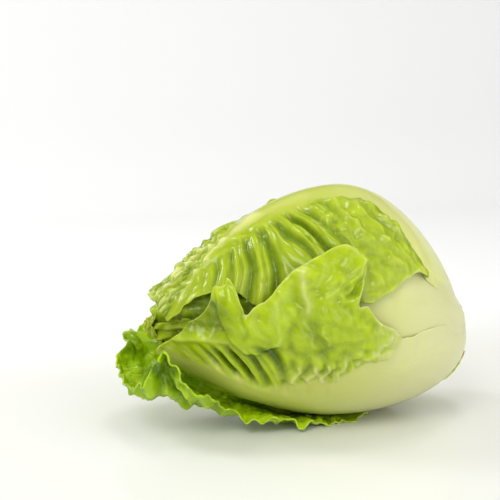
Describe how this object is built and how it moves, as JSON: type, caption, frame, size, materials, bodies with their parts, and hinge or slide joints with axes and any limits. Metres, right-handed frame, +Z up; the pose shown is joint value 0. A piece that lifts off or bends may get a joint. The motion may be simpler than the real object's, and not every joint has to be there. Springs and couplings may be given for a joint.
{
  "type": "romaine lettuce heart",
  "caption": "Small romaine lettuce heart lying on its side, with overlapping ribbed leaves round a short cut stem.",
  "frame": {"origin": "centre of the head's box in plan, on the surface that it lies on", "axes": "+X along the head towards its cut butt, +Y towards its back, +Z up"},
  "size_m": [0.1636, 0.1142, 0.1056],
  "materials": {
    "outer_leaf": "moist satin leaf, pale at the rib and green at the blade",
    "floor_leaf": "moist satin leaf, bright green and ruffled",
    "inner_leaf": "moist satin leaf, pale yellow-green",
    "stem": "matt cut stem tissue"
  },
  "bodies": {
    "root": {"stem": "stem", "bud": "inner_leaf", "leaf_top": "outer_leaf", "leaf_lower": "outer_leaf", "leaf_middle": "outer_leaf", "leaf_back": "outer_leaf", "leaf_floor": "floor_leaf", "leaf_inner_01": "inner_leaf", "leaf_inner_02": "inner_leaf", "leaf_inner_03": "inner_leaf", "leaf_inner_04": "inner_leaf", "leaf_inner_05": "inner_leaf", "leaf_inner_06": "inner_leaf", "leaf_inner_07": "inner_leaf", "leaf_inner_08": "inner_leaf", "leaf_inner_09": "inner_leaf", "leaf_inner_10": "inner_leaf"}
  },
  "joints": []
}
